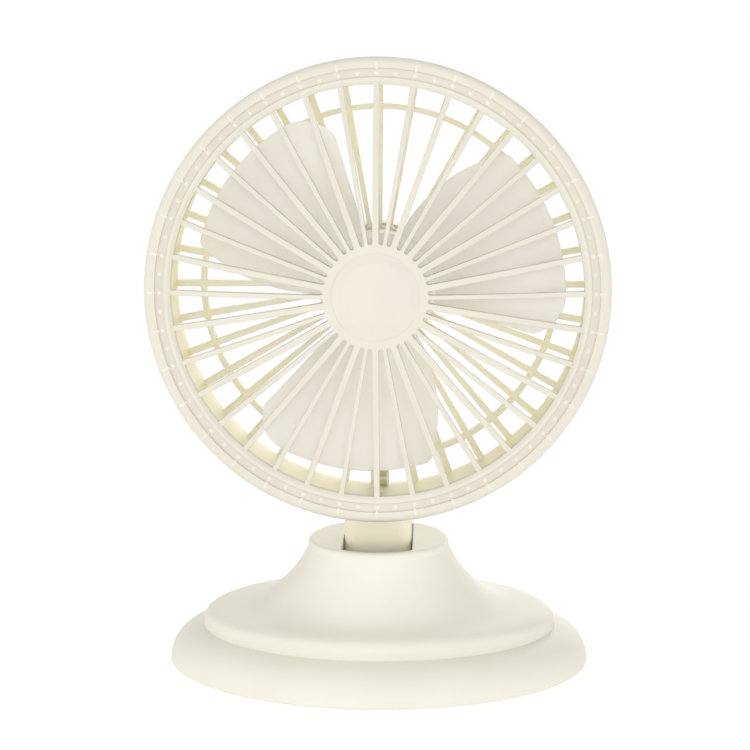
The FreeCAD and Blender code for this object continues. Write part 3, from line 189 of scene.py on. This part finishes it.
class Tree:  # the nodes of one material, or of the world

    def __init__(self, owner):
        owner.use_nodes = True
        self.owner = owner
        self.nodes = owner.node_tree.nodes
        self.links = owner.node_tree.links

    def put(self, socket, value):
        if isinstance(value, Wire):
            value = value.socket
        if isinstance(value, bpy.types.NodeSocket):
            self.links.new(value, socket)
        else:
            socket.default_value = value

    def make(self, kind, settings=None, inputs=None):
        node = self.nodes.new(kind)
        for name, value in (settings or {}).items():
            setattr(node, name, value)
        for name, value in (inputs or {}).items():
            self.put(node.inputs[name], value)
        return node

    def place(self):
        return self.make("ShaderNodeTexCoord").outputs["Object"]

    def axes(self):
        parts = self.make("ShaderNodeSeparateXYZ", {}, {"Vector": self.place()})
        return [Wire(self, parts.outputs[index]) for index in range(3)]

    def noise(self, size, detail=2.0):
        node = self.make("ShaderNodeTexNoise", {},
                         {"Vector": self.place(), "Scale": 1 / (size * mm), "Detail": detail})
        return Wire(self, node.outputs["Fac"])

    def mix(self, amount, first, second):
        node = self.make("ShaderNodeMix", {"data_type": "RGBA"}, {0: amount, 6: first, 7: second})
        return Wire(self, node.outputs[2])

    def feed(self, baseColor, roughness, metallic=0.0, normal=None):
        shader = self.nodes["Principled BSDF"]
        self.put(shader.inputs["Base Color"], baseColor)
        self.put(shader.inputs["Roughness"], roughness)
        self.put(shader.inputs["Metallic"], metallic)
        if normal is not None:
            self.put(shader.inputs["Normal"], normal)

    def glow(self, amount, reach):  # light that passes through thin plastic
        shader = self.nodes["Principled BSDF"]
        self.put(shader.inputs["Subsurface Weight"], amount)
        self.put(shader.inputs["Subsurface Radius"], reach)
        self.put(shader.inputs["Subsurface Scale"], mm)

    def bump(self, height, strength, depth, normal=None):
        node = self.make("ShaderNodeBump", {},
                         {"Height": height, "Strength": strength, "Distance": depth * mm})
        if normal is not None:
            self.put(node.inputs["Normal"], normal)
        return Wire(self, node.outputs["Normal"])

    def softEdge(self, radius):
        node = self.make("ShaderNodeBevel", {"samples": 4}, {"Radius": radius * mm})
        return Wire(self, node.outputs["Normal"])

    def seen(self):  # rays that look straight, in a reflection or through something
        ray = self.make("ShaderNodeLightPath")
        straight = Wire(self, ray.outputs["Is Camera Ray"])
        mirrored = Wire(self, ray.outputs["Is Glossy Ray"])
        through = Wire(self, ray.outputs["Is Transmission Ray"])
        return straight.larger(mirrored.larger(through))


def screenColour(red, green, blue):  # from 0 to 255 to a shader's linear colour
    values = []
    for part in (red, green, blue):
        part = part / 255
        values.append(part / 12.92 if part <= 0.04045 else ((part + 0.055) / 1.055) ** 2.4)
    return (*values, 1.0)


def shaded(colour, share):
    return tuple(min(1.0, part * share) for part in colour[:3]) + (1.0,)


cream = {
    "shell": (235, 232, 218),
    # painted shade: the front guard's and badge's cream is darker than the shell to offset the
    # strong front lamp on them
    "guardPaintedShade": (226, 221, 206),
    "rear": (234, 231, 220),
    "band": (223, 216, 201),  # the sunk band with the dots
    "caps": (234, 230, 216),
    # painted light: the blades are lighter than the shell, standing in for light the front guard's
    # shade takes from them
    "bladePaintedLight": (250, 248, 241),
    # painted light: the stem is lighter and warmer than the shell, standing in for light it misses
    # in the head's shade
    "stem": (253, 246, 222),
    "insidePaintedLight": (251, 244, 222),  # painted light: lighter and warmer cream inside the rear guard, for the ribs and inner wall that sit in shade
    "through": 0.85,  # how much of the light goes into the rear guard
    "reach": (3.2, 2.9, 2.0),  # and how far, in red, green and blue
    "zoneEdge": 0.25,
    "rough": 0.58,
    "roughPlay": 0.08,
    "flow": (4, 3.0),  # size and detail of a noise
    "cloud": (26, 2.0),
    "cloudRange": (0.35, 0.65),
    "cloudShare": 0.975,
    "grain": (0.4, 1.0),  # fine grain of the mould
    "grainStrength": 0.3,
    "grainDepth": 0.01,
}


def creamPlastic(name, colour, edge=0.35, zone=None):
    tree = Tree(bpy.data.materials.new(name))
    base = screenColour(*cream[colour])
    dim = shaded(base, cream["cloudShare"])
    if zone:  # another colour between two distances from the blades' axis: the sunk band on the front guard, and painted light inside the rear guard
        other, inner, outer = zone
        x, y, z = tree.axes()
        axis = joints["fan_spin"]["pos_m"]
        away = ((x - axis[0]) ** 2 + (z - axis[2]) ** 2) ** 0.5
        soft = cream["zoneEdge"]
        inside = (away.between((inner - soft) * mm, (inner + soft) * mm)
                  - away.between((outer - soft) * mm, (outer + soft) * mm))
        there = screenColour(*cream[other])
        base = tree.mix(inside, base, there)
        dim = tree.mix(inside, dim, shaded(there, cream["cloudShare"]))
    cloud = tree.noise(*cream["cloud"]).between(*cream["cloudRange"])
    flow = tree.noise(*cream["flow"])
    grain = tree.noise(*cream["grain"])
    tree.feed(tree.mix(cloud, base, dim), cream["rough"] + (flow - 0.5) * cream["roughPlay"],
              normal=tree.bump(grain, cream["grainStrength"], cream["grainDepth"],
                               tree.softEdge(edge) if edge else None))
    if colour == "rear":
        tree.glow(cream["through"], cream["reach"])
    return tree.owner


metalLook = {
    "stain": (5, 3.0),  # size and detail
    "stainRange": (0.3, 0.7),
    "stainShare": 0.84,
    "fine": (0.4, 3.0),
    "roughPlay": 0.14,
    "linePitch": 0.08,
    "lineDetail": 2.0,
    "lineDepth": 0.01,
}


def metal(name, colour, rough, lines=0.0):
    tree = Tree(bpy.data.materials.new(name))
    stain = tree.noise(*metalLook["stain"]).between(*metalLook["stainRange"])
    fine = tree.noise(*metalLook["fine"])
    base = screenColour(*colour)
    normal = None
    if lines:  # left by turning or brushing
        x, y, z = tree.axes()
        turned = tree.make("ShaderNodeTexNoise", {"noise_dimensions": "1D"},
                           {"W": y / (metalLook["linePitch"] * mm), "Scale": 1.0,
                            "Detail": metalLook["lineDetail"]})
        normal = tree.bump(turned.outputs["Fac"], lines, metalLook["lineDepth"])
    tree.feed(tree.mix(stain, base, shaded(base, metalLook["stainShare"])),
              rough + (fine - 0.5) * metalLook["roughPlay"], 1.0, normal)
    return tree.owner


plainLook = {"cloud": (2.5, 3.0), "cloudRange": (0.3, 0.7), "roughPlay": 0.1, "grainStrength": 0.4}


def plain(name, colour, rough, grain=0.3, depth=0.02, spread=1.3):
    tree = Tree(bpy.data.materials.new(name))
    base = screenColour(*colour)
    cloud = tree.noise(*plainLook["cloud"]).between(*plainLook["cloudRange"])
    tree.feed(tree.mix(cloud, base, shaded(base, spread)),
              rough + (cloud - 0.5) * plainLook["roughPlay"],
              normal=tree.bump(tree.noise(grain), plainLook["grainStrength"], depth))
    return tree.owner


knobLook = {
    "pitch": 0.6,
    "colour": (36, 36, 38),
    "ridgeShare": 1.6,
    "rough": 0.5,
    "roughPlay": 0.12,
    "strength": 0.8,
    "depth": 0.15,
}


def ridgedPlastic(name):
    tree = Tree(bpy.data.materials.new(name))
    x, y, z = tree.axes()
    ridges = x.waves(knobLook["pitch"])
    base = screenColour(*knobLook["colour"])
    tree.feed(tree.mix(ridges, base, shaded(base, knobLook["ridgeShare"])),
              knobLook["rough"] - ridges * knobLook["roughPlay"],
              normal=tree.bump(ridges, knobLook["strength"], knobLook["depth"]))
    return tree.owner


windingLook = {
    "pitch": 0.35,
    "between": (120, 58, 30),
    "wire": (208, 122, 70),
    "rough": 0.3,
    "roughPlay": 0.1,
    "metallic": 0.9,
    "strength": 0.6,
    "depth": 0.08,
}


def windingWire(name):
    tree = Tree(bpy.data.materials.new(name))
    x, y, z = tree.axes()
    wires = (x + z).waves(windingLook["pitch"])
    between, wire = screenColour(*windingLook["between"]), screenColour(*windingLook["wire"])
    tree.feed(tree.mix(wires, between, wire),
              windingLook["rough"] + wires * windingLook["roughPlay"],
              windingLook["metallic"],
              tree.bump(wires, windingLook["strength"], windingLook["depth"]))
    return tree.owner


stackLook = {
    "pitch": 0.5,
    "gap": 0.12,
    "sheet": (150, 152, 156),
    "between": (72, 72, 74),
    "rough": 0.34,
    "roughPlay": 0.12,
    "roughSize": 0.5,
    "metallic": 0.9,
    "strength": 0.5,
    "depth": 0.03,
}


def stackedSteel(name):
    tree = Tree(bpy.data.materials.new(name))
    x, y, z = tree.axes()
    gap = y.stripes(stackLook["pitch"]) < stackLook["gap"]
    sheet, between = screenColour(*stackLook["sheet"]), screenColour(*stackLook["between"])
    play = tree.noise(stackLook["roughSize"]) * stackLook["roughPlay"]
    tree.feed(tree.mix(gap, sheet, between), stackLook["rough"] + play, stackLook["metallic"],
              tree.bump(1 - gap, stackLook["strength"], stackLook["depth"]))
    return tree.owner


boardLook = {
    "pitch": 1.6,
    "track": 0.35,
    "trackShare": 0.8,
    "mask": (18, 84, 46),
    "overTrack": (42, 120, 68),
    "rough": 0.28,
    "roughPlay": 0.14,
    "roughSize": 0.8,
    "strength": 0.4,
    "depth": 0.03,
}


def boardMask(name):
    tree = Tree(bpy.data.materials.new(name))
    x, y, z = tree.axes()
    track = x.stripes(boardLook["pitch"]) < boardLook["track"]
    mask, overTrack = screenColour(*boardLook["mask"]), screenColour(*boardLook["overTrack"])
    play = tree.noise(boardLook["roughSize"]) * boardLook["roughPlay"]
    tree.feed(tree.mix(track * boardLook["trackShare"], mask, overTrack),
              boardLook["rough"] + play,
              normal=tree.bump(track, boardLook["strength"], boardLook["depth"]))
    return tree.owner


socketLook = {
    "side": 3.45,  # half the tongue's width
    "half": 0.42,  # and half its thickness
    "contacts": 2.8,
    "pitch": 0.5,
    "contactShare": 0.5,
    "inside": 1.0,
    "shell": (198, 199, 202),
    "tongue": (24, 24, 25),
    "contact": (216, 172, 94),
    "rough": 0.26,
    "roughPlay": 0.14,
    "roughSize": 0.6,
}


def socketMetal(name):
    low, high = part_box("usb_socket")
    middle = [(low[axis] + high[axis]) / 2 for axis in range(3)]
    tree = Tree(bpy.data.materials.new(name))
    x, y, z = tree.axes()
    side = (x - middle[0]).part("ABSOLUTE")
    rise = (z - middle[2]).part("ABSOLUTE")
    tongue = ((side < socketLook["side"] * mm) * (rise < socketLook["half"] * mm)
              * (y > low[1] + socketLook["inside"] * mm))
    lane = x.stripes(socketLook["pitch"]) < socketLook["contactShare"]
    contact = tongue * lane * (side < socketLook["contacts"] * mm)
    shell, black = screenColour(*socketLook["shell"]), screenColour(*socketLook["tongue"])
    gold = screenColour(*socketLook["contact"])
    play = tree.noise(socketLook["roughSize"]) * socketLook["roughPlay"]
    tree.feed(tree.mix(contact, tree.mix(tongue, shell, black), gold),
              socketLook["rough"] + play, 1 - tongue * (1 - contact))
    return tree.owner


finishes = {
    "shell": creamPlastic("satinCreamShell", "shell"),
    "guardPaintedShade": creamPlastic("satinCreamGuardPaintedShade", "guardPaintedShade", 0.3, ("band", 68.6, 71.5)),
    "rear": creamPlastic("satinCreamRearInsidePaintedLight", "rear", 0.3, ("insidePaintedLight", -1, 71)),  # painted light out to 71 mm; -1 takes in the axis
    "bladePaintedLight": creamPlastic("satinCreamBladePaintedLight", "bladePaintedLight"),
    "stem": creamPlastic("satinCreamStemPaintedLight", "stem"),
    "trim": creamPlastic("satinCreamTrimPaintedShade", "guardPaintedShade", None),
    "caps": creamPlastic("satinCreamCaps", "caps", None),
    "steel": metal("platedSteel", (190, 192, 196), 0.3),
    "ballast": metal("rolledSteel", (118, 120, 124), 0.45, 0.2),
    "can": metal("nickelSteel", (202, 200, 194), 0.24, 0.15),
    "bronze": metal("sinteredBronze", (178, 134, 80), 0.45),
    "copper": metal("turnedCopper", (204, 122, 76), 0.25, 0.3),
    "brush": plain("carbonBrush", (42, 40, 40), 0.5),
    "magnet": plain("ferrite", (52, 52, 56), 0.62),
    "black": plain("blackPlastic", (30, 30, 31), 0.46),
    "knob": ridgedPlastic("ridgedKnob"),
    "nylon": plain("nylonWasher", (222, 221, 214), 0.4, 0.3, 0.01, 1.03),
    "rubber": plain("footRubber", (40, 40, 41), 0.78, 0.25, 0.05),
    "winding": windingWire("enamelledWire"),
    "laminate": stackedSteel("stackedSteel"),
    "board": boardMask("boardMask"),
    "socket": socketMetal("tinnedSocket"),
}

nodeFinish = {
    "shell": ("base_shell", "base_plate"),
    "guardPaintedShade": ("front_guard",),
    "rear": ("rear_guard", "motor_cover"),
    "bladePaintedLight": ("fan_blade",),
    "stem": ("stem_front", "stem_back"),
    "trim": ("hub_badge",),
    "steel": ("motor_terminals", "motor_shaft", "stem_screws", "motor_screws", "cover_screws",
              "base_screws", "board_screws", "tilt_bolt", "tilt_spring_washer", "tilt_nut"),
    "ballast": ("ballast_plate",),
    "can": ("motor_can",),
    "bronze": ("front_bush", "rear_bush"),
    "copper": ("commutator",),
    "brush": ("motor_brushes",),
    "magnet": ("motor_magnets",),
    "black": ("motor_end_cap", "switch_body"),
    "knob": ("switch_knob",),
    "nylon": ("thrust_washers", "tilt_washers"),
    "rubber": ("rubber_feet",),
    "winding": ("armature_windings",),
    "laminate": ("armature_core",),
    "board": ("circuit_board",),
    "socket": ("usb_socket",),
}


def dressNodes():
    for finish, names in nodeFinish.items():
        for name in names:
            materials = nodes[name].data.materials
            materials.clear()
            materials.append(finishes[finish])


meshRules = {
    "merge": 0.002,  # points closer than this are joined
    "sharp": 38,  # edges bent by more degrees than this stay sharp
}


def finished(mesh, name, body, finish):
    bmesh.ops.remove_doubles(mesh, verts=mesh.verts, dist=meshRules["merge"] * mm)
    bmesh.ops.recalc_face_normals(mesh, faces=mesh.faces)
    data = bpy.data.meshes.new(name)
    mesh.to_mesh(data)
    mesh.free()
    data.shade_smooth()
    data.set_sharp_from_angle(angle=math.radians(meshRules["sharp"]))
    data.materials.append(finishes[finish])
    piece = bpy.data.objects.new(name, data)
    bpy.context.scene.collection.objects.link(piece)
    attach(piece, body)
    return piece


def headPlace():  # from the head's own frame, z forward and y up, to the part's
    axis = Vector(joints["fan_spin"]["pos_m"])
    return Matrix.Translation(axis) @ Matrix.Rotation(math.radians(90), 4, "X")


badge = {
    "flat": 10.2,  # radius of the nearly flat middle
    "body": 13.76,
    "outer": 14.2,  # the soft edge runs out on the hub's face
    "face": 0.25,  # the hub's face is this far behind the CAD badge's front
    "sunk": 0.02,  # the edge ends this far below the hub's face
    "rise": 0.8,
    "crown": 0.1,  # the middle stands above the flat's edge by this
    "half": (0.5, 0.25),  # at this share of the flat, this share of the crown is gone
    "steps": 10,
    "around": 128,
}


def makeBadge():
    low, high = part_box("hub_badge")
    start = joints["fan_spin"]["pos_m"][1]
    floor = start - high[1]
    edge = start - low[1] - (badge["face"] + badge["sunk"]) * mm
    rise = (badge["rise"] - badge["crown"]) * mm
    span = (badge["outer"] - badge["flat"]) * mm
    profile = [(0, floor), (badge["body"] * mm, floor), (badge["body"] * mm, edge)]
    for step in range(badge["steps"] + 1):
        share = step / badge["steps"]
        profile.append((badge["outer"] * mm - span * share,
                        edge + rise * (1 - math.cos(math.pi * share)) / 2))
    crown = edge + rise + badge["crown"] * mm
    out, down = badge["half"]
    profile += [(badge["flat"] * out * mm, crown - badge["crown"] * down * mm), (0, crown)]
    mesh = bmesh.new()
    corners = [mesh.verts.new((radius, 0, height)) for radius, height in profile]
    edges = [mesh.edges.new(pair) for pair in zip(corners, corners[1:])]
    bmesh.ops.spin(mesh, geom=corners + edges, axis=(0, 0, 1), cent=(0, 0, 0),
                   angle=math.radians(360), steps=badge["around"], use_merge=True)
    bmesh.ops.transform(mesh, matrix=headPlace(), verts=mesh.verts)
    piece = finished(mesh, "badge_disc", "head", "trim")
    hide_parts("hub_badge")


rim = {
    "dots": (72, 69.85, 1.0, (0.98, 0.98, 0.6)),  # count, circle, height, half sizes
    "ridges": (36, 72.3, 1.5, (0.72, 1.45, 0.55)),
    "sunk": 0.667,  # share of a half height that is below the surface
    "segments": (20, 12),  # of each cap, around and down
}


def makeRimCaps(name):  # low caps in a ring on the front of the rim
    count, circle, height, (across, along, rise) = rim[name]
    around, down = rim["segments"]
    mesh = bmesh.new()
    shape = Matrix.Diagonal((across * mm, along * mm, rise * mm, 1))
    out = Matrix.Translation((0, circle * mm, (height - rim["sunk"] * rise) * mm))
    for index in range(count):
        turn = Matrix.Rotation(-math.radians(360 * index / count), 4, "Z")
        bmesh.ops.create_uvsphere(mesh, u_segments=around, v_segments=down, radius=1,
                                  matrix=headPlace() @ turn @ out @ shape)
    finished(mesh, "rim_" + name, "head", "caps")


screw = {
    "cross": 0.6,  # reach of the cross recess, as a share of the head's radius
    "crossDepth": 0.55,  # as a share of the head's height
    "crossFloor": 0.8,
    "dome": 0.3,  # the domed share of the head's height
    "shoulder": (0.4, 0.97),  # how far down the dome, and how wide it is there
    "rims": 9,  # thread rings on a shank
    "threadDepth": 0.82,
    "merge": 0.001,
}

screwSets = {
    "cover_screws": ("head", (0, 1, 0), 1.4, 1.2),  # body, way the head faces, its height, shank
    "stem_screws": ("head", (0, 1, 0), 1.4, 1.2),
    "motor_screws": ("head", (0, -1, 0), 1.12, 1.0),
    "base_screws": ("base", (0, 0, -1), 1.4, 1.2),
    "board_screws": ("base", (0, 0, 1), 1.12, 1.0),
}


def solidBoxes(name):  # one box for each separate solid of a CAD node
    mesh = bmesh.new()
    mesh.from_mesh(nodes[name].data)
    bmesh.ops.remove_doubles(mesh, verts=mesh.verts, dist=screw["merge"] * mm)
    left = set(mesh.verts)
    boxes = []
    while left:
        reached = [left.pop()]
        for vert in reached:
            for edge in vert.link_edges:
                other = edge.other_vert(vert)
                if other in left:
                    left.remove(other)
                    reached.append(other)
        spots = [vert.co for vert in reached]
        boxes.append([Vector([pick(spot[axis] for spot in spots) for axis in range(3)])
                      for pick in (min, max)])
    mesh.free()
    return sorted(boxes, key=lambda box: tuple(box[0]))


def pulled(mesh, edges, drop, share):  # carries a ring on: down by drop and in to share
    made = bmesh.ops.extrude_edge_only(mesh, edges=edges)["geom"]
    verts = [item for item in made if isinstance(item, bmesh.types.BMVert)]
    bmesh.ops.scale(mesh, vec=(share, share, 1), verts=verts)
    bmesh.ops.translate(mesh, vec=(0, 0, -drop), verts=verts)
    return [item for item in made if isinstance(item, bmesh.types.BMEdge)]


def addScrew(radius, height, shank, length):
    mesh = bmesh.new()
    bmesh.ops.create_grid(mesh, x_segments=3, y_segments=3, size=radius * screw["cross"])
    sides = [edge for edge in mesh.edges if edge.is_boundary]
    bmesh.ops.subdivide_edges(mesh, edges=sides, cuts=1)
    arm = radius * screw["cross"] / 3
    recess = [face for face in mesh.faces
              if min(abs(face.calc_center_median().x), abs(face.calc_center_median().y)) < arm]
    sides = [edge for edge in mesh.edges if edge.is_boundary]
    ring = pulled(mesh, sides, 0, 1)
    top = radius * (1 - screw["dome"] / 2)
    step = 2 * math.pi / len(ring)
    for vert in {vert for edge in ring for vert in edge.verts}:
        turn = math.floor(math.atan2(vert.co.y, vert.co.x) / step + 0.5) * step
        vert.co = (top * math.cos(turn), top * math.sin(turn), 0)
    sunk = bmesh.ops.extrude_face_region(mesh, geom=recess)["geom"]
    sunk = [item for item in sunk if isinstance(item, bmesh.types.BMVert)]
    bmesh.ops.translate(mesh, vec=(0, 0, -height * screw["crossDepth"]), verts=sunk)
    bmesh.ops.scale(mesh, vec=(screw["crossFloor"], screw["crossFloor"], 1), verts=sunk)
    if recess[0].is_valid:
        bmesh.ops.delete(mesh, geom=[face for face in recess if face.is_valid], context="FACES")
    dome = height * screw["dome"]
    down, wide = screw["shoulder"]
    loop = pulled(mesh, ring, dome * down, radius * wide / top)
    loop = pulled(mesh, loop, dome * (1 - down), 1 / wide)
    loop = pulled(mesh, loop, height - dome, 1)
    loop = pulled(mesh, loop, 0, shank / radius)
    pitch = (length - height) / (2 * screw["rims"])
    for index in range(screw["rims"]):
        loop = pulled(mesh, loop, pitch, screw["threadDepth"])
        loop = pulled(mesh, loop, pitch, 1 / screw["threadDepth"])
    bmesh.ops.contextual_create(mesh, geom=loop)
    return mesh


def makeScrews():
    for name, (body, way, height, shank) in screwSets.items():
        way = Vector(way)
        turn = way.to_track_quat("Z", "Y").to_matrix().to_4x4()
        whole = bmesh.new()
        for low, high in solidBoxes(name):
            size = high - low
            length = abs(size.dot(way))
            radius = min(size) / 2
            middle = (low + high) / 2
            mesh = addScrew(radius, height * mm, shank * mm, length)
            bmesh.ops.transform(mesh, verts=mesh.verts,
                                matrix=Matrix.Translation(middle + way * length / 2) @ turn)
            single = bpy.data.meshes.new("screw")
            mesh.to_mesh(single)
            mesh.free()
            whole.from_mesh(single)
            bpy.data.meshes.remove(single)
        piece = finished(whole, name + "_crossed", body, "steel")
        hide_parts(name)


white = (1, 1, 1, 1)

floorLook = {
    "radius": 1.6,
    "segments": 96,
    "gap": 0.05,  # keeps the feet clear of the floor's plane
    "colour": (246, 246, 245),
    "rough": 0.9,
    "near": 0.14,  # from here outwards the floor fades to plain white
    "far": 0.4,
    "bounce": 1.25,  # light that the floor gives back to the object
    "bounceShare": 0.5,
    "share": 0.74,  # of plain white in what is seen close to the object
}


def makeFloor():
    mesh = bmesh.new()
    bmesh.ops.create_circle(mesh, segments=floorLook["segments"], radius=floorLook["radius"],
                            cap_ends=True,
                            matrix=Matrix.Translation((0, 0, -floorLook["gap"] * mm)))
    data = bpy.data.meshes.new("floor")
    mesh.to_mesh(data)
    mesh.free()
    floor = bpy.data.objects.new("floor", data)
    bpy.context.scene.collection.objects.link(floor)
    tree = Tree(bpy.data.materials.new("paleFloor"))
    tree.feed(screenColour(*floorLook["colour"]), floorLook["rough"])
    away = tree.make("ShaderNodeVectorMath", {"operation": "LENGTH"}, {0: tree.place()})
    fade = Wire(tree, away.outputs["Value"]).between(floorLook["near"], floorLook["far"])
    share = (fade * (1 - floorLook["share"]) + floorLook["share"]) * tree.seen()
    plainWhite = tree.make("ShaderNodeEmission", {}, {"Color": white, "Strength": 1.0})
    bounce = tree.make("ShaderNodeEmission", {}, {"Color": white, "Strength": floorLook["bounce"]})
    lit = tree.make("ShaderNodeMixShader", {},
                    {0: floorLook["bounceShare"], 1: tree.nodes["Principled BSDF"].outputs[0],
                     2: bounce.outputs[0]})
    both = tree.make("ShaderNodeMixShader", {},
                     {0: share, 1: lit.outputs[0], 2: plainWhite.outputs[0]})
    tree.put(tree.nodes["Material Output"].inputs["Surface"], both.outputs[0])
    data.materials.append(tree.owner)


def makeWorld():
    world = bpy.data.worlds.new("studio")
    bpy.context.scene.world = world
    tree = Tree(world)
    back = tree.nodes["Background"]
    tree.put(back.inputs["Color"], white)
    tree.put(back.inputs["Strength"], tree.seen() * (1 - light["sky"]) + light["sky"])


makeCamera()
makeLamps()
makeWorld()
makeFloor()
print("camera, lamps and floor ready")

dressNodes()
print("finishes ready")

makeBadge()
makeRimCaps("dots")
makeRimCaps("ridges")
print("badge and rim ready")

makeScrews()
print("screws ready")

print("pieces ready")
